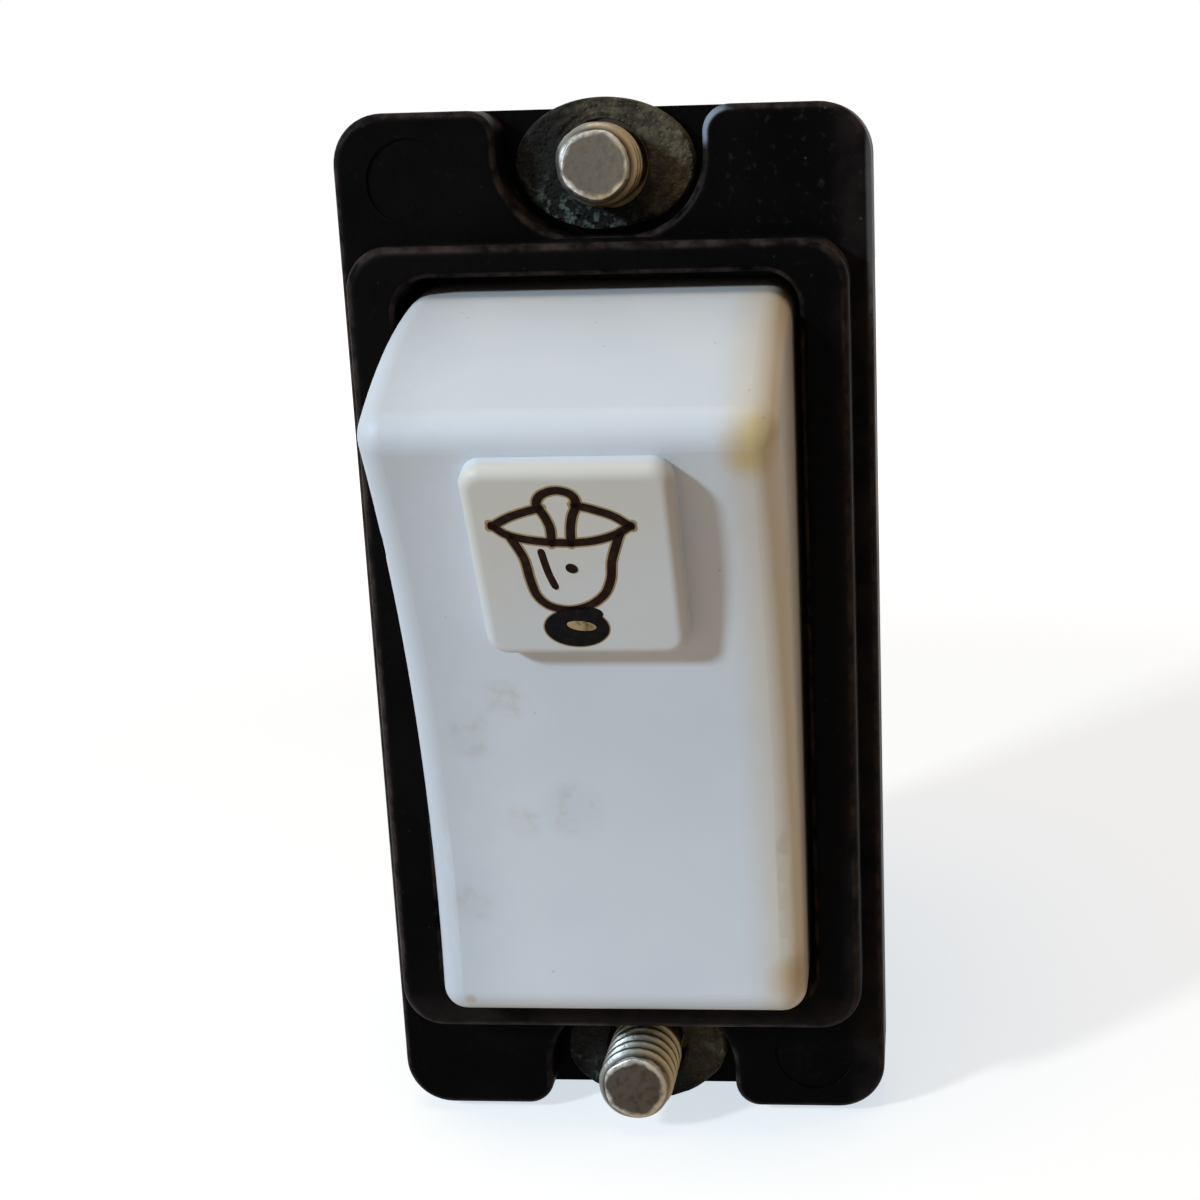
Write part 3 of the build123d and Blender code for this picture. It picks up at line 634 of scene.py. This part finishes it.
def corroded_washer(name, node):
    low, high = (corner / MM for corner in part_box(node))
    middle_z = (low.z + high.z) / 2
    half_width, half_length = (high.x - low.x) / 2, (high.z - low.z) / 2
    rim = 1 - RIM_ROUND / half_length
    back = high.y - BACK_GAP
    # A row is how far out it lies, its depth, and how much of the crust it takes.
    face_rows = [(FACE_START + (rim - FACE_START) * i / FACE_ROWS, low.y, 1.0)
                 for i in range(FACE_ROWS + 1)]
    rows = [(0.0, back, 0.0), (0.0, low.y + HOLE_ROUND, 0.3), *face_rows, (1.0, low.y + RIM_ROUND, 0.6),
            (1.0, (low.y + high.y) / 2, 0.4), (1.0, back, 0.0), (0.0, back, 0.0)]

    def eaten(row, angle):
        outward, depth, share = row
        spot = Vector((half_width * outward * cos(angle), half_length * outward * sin(angle), middle_z))
        crust = noise.fractal(spot * CRUST_GRAIN, 0.9, 2.1, 5)
        bite = noise.fractal(spot * LOSS_GRAIN + Vector((3, 0, 0)), 1.0, 2.0, 4)
        loss = RIM_LOSS * share * outward * max(0.0, bite)
        reaches = [WASHER_HOLE + (half - WASHER_HOLE) * outward - loss
                   for half in (half_width, half_length)]
        return *reaches, depth + share * CRUST * (0.5 - crust)

    mesh = bmesh.new()
    turned_surface(mesh, rows, WASHER_TURNS, middle_z, eaten)
    bmesh.ops.remove_doubles(mesh, verts=mesh.verts, dist=MERGE_REACH * MM)
    steel = corroded_steel(name + "_steel", middle_z)
    washer = new_piece(name, mesh, steel, "base", "corroded_washer", node)
    smooth_sides(washer, WASHER_SHARP)


corroded_washer("upper_corroded_washer", "upper_washer")
corroded_washer("lower_corroded_washer", "lower_washer")


# Fixing screws: steel screws with a rolled thread, put through the flange from behind so that the tips
# stand out of the washers in front. The tips have burred rims, bright partly as bare steel and partly as a
# painted highlight, and dull faces. The thread is browner on its lower right, partly real tarnish and
# partly painted warm shade, and greyer on its upper left, a painted cool sheen.

THREAD_RADIUS = 1.75
THREAD_PITCH = 0.7
THREAD_DEPTH = 0.4
CREST_SHARE = 0.16
FLANK_STEEPNESS = 1.15
THREAD_TURNS = 96
ROWS_PER_PITCH = 16
SCREW_SHARP = 40
TIP_FACE = 1.4
TIP_ROWS = (0.25, 0.5, 0.75, 0.95)
TIP_SLOPE = 0.75
TIP_BURR = 0.1
BURR_GRAIN = 1.6
TIP_DENT = 0.035
DENT_GRAIN = 1.3
TIP_DEPTH = (0.2, 0.06)
TIP_MIDDLE = (1.42, 1.16)
GROOVE_RADIUS = (1.7, 1.42)
GROOVE_FADE = 1.0
SHANK_RADIUS = 1.55
SHANK_CUT = 0.2

SHEEN_STEEL = tone(134, 134, 126)
BROWNED_AND_SHADED_STEEL = tone(152, 130, 94)
GROOVE_BROWN = tone(42, 33, 22)
RIM_AND_HIGHLIGHT_STEEL = tone(198, 196, 190)


def tarnished_steel(name, middle_z, tip_y, thread_end, tip_colour):
    finish = new_finish(name)
    place = millimetres(finish)
    x, y, z = place.axis("X"), place.axis("Y"), place.axis("Z") - middle_z
    radius = (x * x + z * z) ** 0.5
    scuffs = place.noise(3.2, 6)
    blotch = place.noise(1.1, 4) - 0.5
    on_tip = (y - tip_y).step(*TIP_DEPTH)
    on_thread = (1 - on_tip) * y.step(thread_end + GROOVE_FADE, thread_end)
    tip_middle = (radius + 0.7 * blotch).step(*TIP_MIDDLE) * on_tip
    groove = radius.step(*GROOVE_RADIUS) * on_thread
    # Browner to the lower right, partly tarnish and partly painted warm shade; greyer upper left, a painted
    # cool sheen.
    tarnished_and_shaded_side = (x - 0.4 * z + 2.0 * blotch).step(-1.0, 0.9)
    # The tip's rim is bright partly as bare burred steel and partly as a painted highlight, strongest upper
    # left.
    rim = on_tip * (1 - 0.7 * tarnished_and_shaded_side) * scuffs.step(0.3, 0.6)
    colour = tarnished_and_shaded_side.mix(SHEEN_STEEL, BROWNED_AND_SHADED_STEEL)
    colour = (0.9 * groove).mix(colour, GROOVE_BROWN)
    colour = rim.mix(colour, RIM_AND_HIGHLIGHT_STEEL)
    colour = (tip_middle * (0.8 + 0.32 * scuffs)).mix(colour, tip_colour)
    lay_on(finish, {
        "Base Color": colour,
        "Metallic": 0.85,
        "Roughness": 0.26 + 0.2 * scuffs + 0.2 * groove + 0.1 * tarnished_and_shaded_side,
        "Normal": scuffs.bump(0.03),
    })
    return finish


def threaded_screw(name, node, washer_node, tip_colour):
    low, high = (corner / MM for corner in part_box(node))
    middle_z = (low.z + high.z) / 2
    thread_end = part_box(washer_node)[0].y / MM + SHANK_CUT
    length = thread_end - low.y

    def threaded(depth, angle):
        phase = (depth / THREAD_PITCH + angle / tau) % 1.0
        flank = max(0.0, abs(2 * phase - 1) - CREST_SHARE) / (1 - CREST_SHARE)
        radius = THREAD_RADIUS - THREAD_DEPTH * min(1.0, FLANK_STEEPNESS * flank)
        burr = TIP_BURR * noise.noise(Vector((BURR_GRAIN * cos(angle), BURR_GRAIN * sin(angle), low.y)))
        chamfered = TIP_FACE + burr + TIP_SLOPE * (depth - low.y)
        run_out = THREAD_RADIUS if depth < thread_end - 2 * SHANK_CUT else SHANK_RADIUS
        reach = min(radius, chamfered, run_out)
        return reach, reach, depth

    def scuffed(share, angle):
        radius = TIP_FACE * share
        spot = Vector((radius * cos(angle), radius * sin(angle), low.y))
        dent = noise.fractal(spot * DENT_GRAIN, 1.0, 2.0, 3)
        return radius, radius, low.y + TIP_DENT * (1 - share) * (1 + dent)

    shank = bmesh.new()
    shank.from_mesh(nodes[node].data)
    cut = bmesh.ops.bisect_plane(shank, geom=shank.verts[:] + shank.edges[:] + shank.faces[:],
                                 plane_co=MM * Vector((0, thread_end - SHANK_CUT / 2, 0)),
                                 plane_no=(0, -1, 0), clear_outer=True)
    cut_edges = [part for part in cut["geom_cut"] if isinstance(part, bmesh.types.BMEdge)]
    bmesh.ops.holes_fill(shank, edges=cut_edges)
    count = round(length / THREAD_PITCH * ROWS_PER_PITCH)
    depths = [low.y + length * i / count for i in range(count + 1)]
    tip = turned_surface(shank, TIP_ROWS, THREAD_TURNS, middle_z, scuffed)
    thread = turned_surface(shank, depths, THREAD_TURNS, middle_z, threaded)
    for number in range(THREAD_TURNS):
        after = (number + 1) % THREAD_TURNS
        shank.faces.new((tip[-1][number], tip[-1][after], thread[0][after], thread[0][number]))
    shank.faces.new(tip[0])
    shank.faces.new(thread[-1][::-1])
    steel = tarnished_steel(name + "_steel", middle_z, low.y, thread_end, tip_colour)
    screw = new_piece(name, shank, steel, "base", "screw_steel", node)
    smooth_sides(screw, SCREW_SHARP)


threaded_screw("upper_threaded_screw", "upper_fixing_screw", "upper_washer", tip_colour=tone(84, 78, 68))
threaded_screw("lower_threaded_screw", "lower_fixing_screw", "lower_washer", tip_colour=tone(60, 51, 42))


# Floor and light: a beige floor under the switch, a cool lamp low at the left as from a window, a soft warm
# one overhead and a faint warm surround. The camera and reflections see floor and surround as white.

FLOOR_REACH = 0.6
FLOOR_SQUARES = 8
NEAR_REACH = 70
FAR_REACH = 170
AMBIENT = 0.22
WHITE = (1, 1, 1, 1)
BLACK = (0, 0, 0, 1)
NEAR_GLOW = (0.62, 0.69, 0.75, 1)
WARM_SURROUND = (1.0, 0.8, 0.62, 1)


def seen_white(tree):
    """1 for what the camera sees straight on, in a reflection or through something clear."""
    paths = Flow(tree)
    seen = paths.add("ShaderNodeLightPath", output="Is Camera Ray")
    for ray in ("Is Glossy Ray", "Is Transmission Ray"):
        seen = seen.larger(paths.add("ShaderNodeLightPath", output=ray))
    return seen


floor_mesh = bmesh.new()
bmesh.ops.create_grid(floor_mesh, x_segments=FLOOR_SQUARES, y_segments=FLOOR_SQUARES, size=FLOOR_REACH,
                      matrix=Matrix.Translation((0, 0, cad_box[0].z)))
floor_data = bpy.data.meshes.new("floor")
floor_mesh.to_mesh(floor_data)
floor_mesh.free()
floor = bpy.data.objects.new("floor", floor_data)
bpy.context.scene.collection.objects.link(floor)
floor_finish = new_finish("white_floor")
floor_place = millimetres(floor_finish)
far_off = floor_place.away_from(0, 0, cad_box[0].z / MM).step(NEAR_REACH, FAR_REACH)
glow = far_off.mix(NEAR_GLOW, WHITE)
lay_on(floor_finish, {
    "Base Color": floor_place.noise(0.01, 2).mix(tone(196, 180, 162), tone(200, 184, 166)),
    "Roughness": 0.8,
    "Specular IOR Level": 0.1,
    "Emission Color": seen_white(floor_finish.node_tree).mix(BLACK, glow),
    "Emission Strength": 1.0,
    "Normal": floor_place.noise(2.0, 3).bump(0.01),
})
floor_data.materials.append(floor_finish)

world = bpy.data.worlds.new("white_surround")
bpy.context.scene.world = world
world.use_nodes = True
world.node_tree.nodes.clear()
seen = seen_white(world.node_tree)
surround = seen.add("ShaderNodeBackground", None, {"Color": seen.mix(WARM_SURROUND, WHITE),
                                                   "Strength": AMBIENT + (1 - AMBIENT) * seen})
surround.add("ShaderNodeOutputWorld", None, {"Surface": surround})


def soft_lamp(name, place, size, power, colour):
    """A round lamp that looks at the middle of the switch."""
    lamp = bpy.data.lights.new(name, "AREA")
    lamp.shape = "DISK"
    lamp.size = size
    lamp.energy = power
    lamp.color = colour
    holder = bpy.data.objects.new(name, lamp)
    holder.location = place
    holder.rotation_mode = "QUATERNION"
    holder.rotation_quaternion = (-Vector(place)).to_track_quat("-Z", "Y")
    bpy.context.scene.collection.objects.link(holder)


soft_lamp("window_lamp", place=(-0.229, -0.226, 0.155), size=0.045, power=1.16, colour=(0.64, 0.81, 1.0))
soft_lamp("overhead_lamp", place=(-0.036, -0.09, 0.345), size=0.2, power=0.36, colour=(1.0, 0.8, 0.55))


# Camera: close in front of the switch, a little to the right and above, as in the photograph. That picture
# is cut from a wider one in which the switch stood left of the middle, so the lens is shifted by as much.

CAMERA_PLACE = Vector((13.574, -80.249, 22.051)) * MM
CAMERA_AIM = Vector((7.172, 0.0, 1.802)) * MM
CAMERA_ROLL = radians(-1.589)
SENSOR_WIDTH = 36.0
LENS_WIDTHS = 1.56
FRAMING_SHIFT = -0.15
NEAR_CLIP = 1 * MM

lens = bpy.data.cameras.new("camera")
lens.sensor_width = SENSOR_WIDTH
lens.lens = SENSOR_WIDTH * LENS_WIDTHS
lens.shift_x = FRAMING_SHIFT
lens.clip_start = NEAR_CLIP
camera = bpy.data.objects.new("camera", lens)
aimed = (CAMERA_AIM - CAMERA_PLACE).to_track_quat("-Z", "Y").to_matrix()
rolled = aimed @ Matrix.Rotation(CAMERA_ROLL, 3, "Z")
camera.matrix_world = Matrix.Translation(CAMERA_PLACE) @ rolled.to_4x4()
bpy.context.scene.collection.objects.link(camera)
bpy.context.scene.camera = camera
bpy.context.scene.view_settings.view_transform = "Standard"
